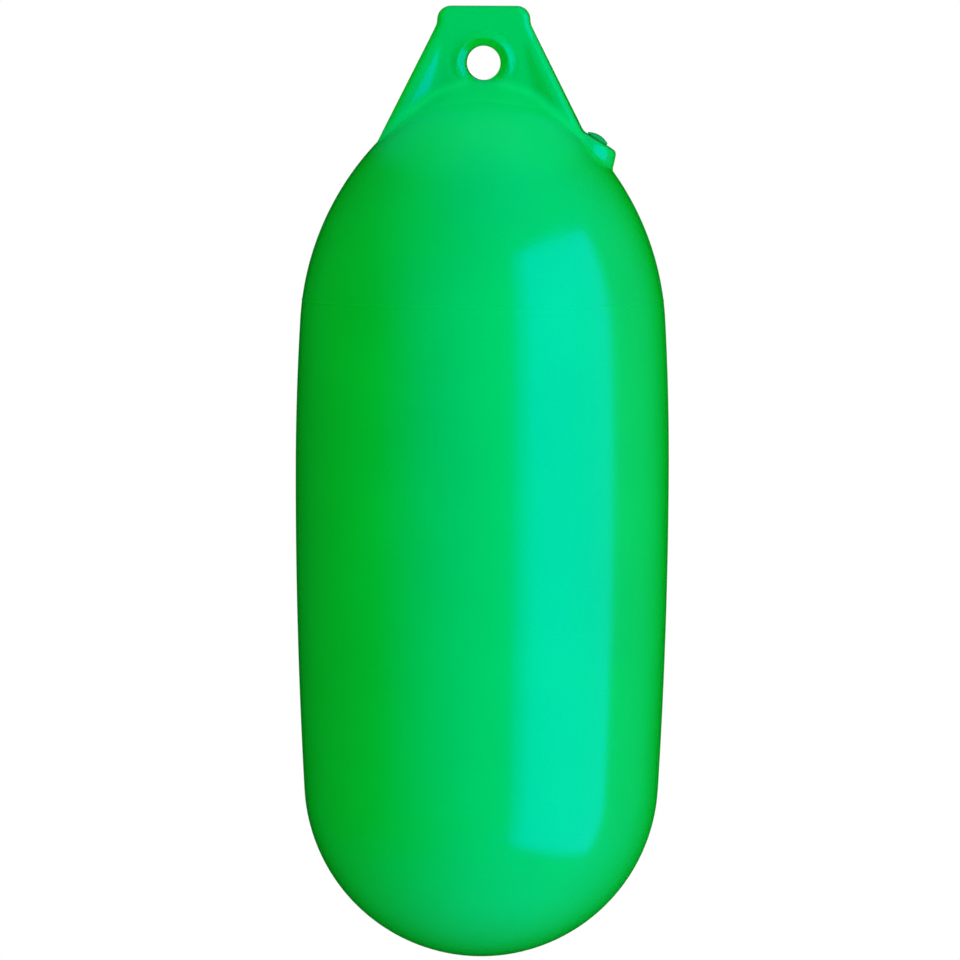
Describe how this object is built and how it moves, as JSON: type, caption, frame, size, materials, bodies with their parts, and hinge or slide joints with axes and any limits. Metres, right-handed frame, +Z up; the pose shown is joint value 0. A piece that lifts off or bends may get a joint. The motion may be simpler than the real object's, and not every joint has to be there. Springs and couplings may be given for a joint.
{
  "type": "inflatable buoy",
  "caption": "Small inflatable vinyl buoy: a long round-ended float with a ribbed, beaded rope eye on its crown and a screw valve beside it.",
  "frame": {"origin": "centre of the rope eye's bore", "axes": "+Z up along the float's axis, towards the top of the lug; +Y along the eye's bore; +X towards the valve"},
  "size_m": [0.1524, 0.1524, 0.3887],
  "materials": {
    "vinyl": "smooth glossy moulded vinyl",
    "valve_plastic": "satin moulded plastic"
  },
  "bodies": {
    "float": {"body_shell": "vinyl", "rope_eye": "vinyl", "valve_boss": "vinyl", "valve_bush": "valve_plastic"},
    "screw": {"valve_screw": "valve_plastic"}
  },
  "joints": [
    {"name": "valve_screw_draw", "type": "slide", "parent": "float", "child": "screw", "axis": [0.515, 0, 0.8572], "range_m": [0, 0.03]}
  ]
}
